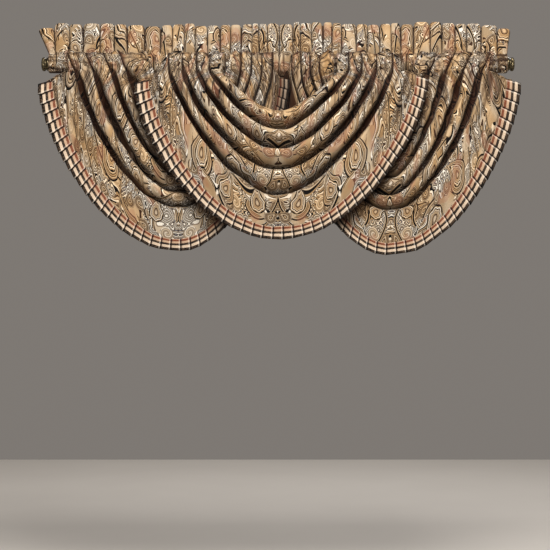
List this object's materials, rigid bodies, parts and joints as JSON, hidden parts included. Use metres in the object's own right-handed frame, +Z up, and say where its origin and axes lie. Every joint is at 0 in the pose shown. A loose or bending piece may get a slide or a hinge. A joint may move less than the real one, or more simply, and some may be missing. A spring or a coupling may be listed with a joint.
{
  "type": "waterfall valance on a curtain rod",
  "caption": "Gathered waterfall valance with a ruffled rod pocket, draped swags and a pleated striped trim, hanging on a plain round curtain rod with turned end caps.",
  "frame": {"origin": "on the axis of the rod, at its mid length", "axes": "+X along the rod to the right as seen from the front, +Y to the back, +Z up; the front of the valance faces -Y"},
  "size_m": [1.1644, 0.0974, 0.5631],
  "materials": {
    "paisley_cloth": "woven paisley jacquard in beige, gold and taupe with black outlines",
    "striped_ribbon": "pleated ribbon striped in rust, cream and black",
    "aged_brass": "dark antique brass"
  },
  "bodies": {
    "root": {"rod": "aged_brass", "cap_left": "aged_brass", "cap_right": "aged_brass", "header": "paisley_cloth", "swag_left": "paisley_cloth", "swag_centre": "paisley_cloth", "swag_right": "paisley_cloth", "trim_left": "striped_ribbon", "trim_centre": "striped_ribbon", "trim_right": "striped_ribbon"}
  },
  "joints": []
}
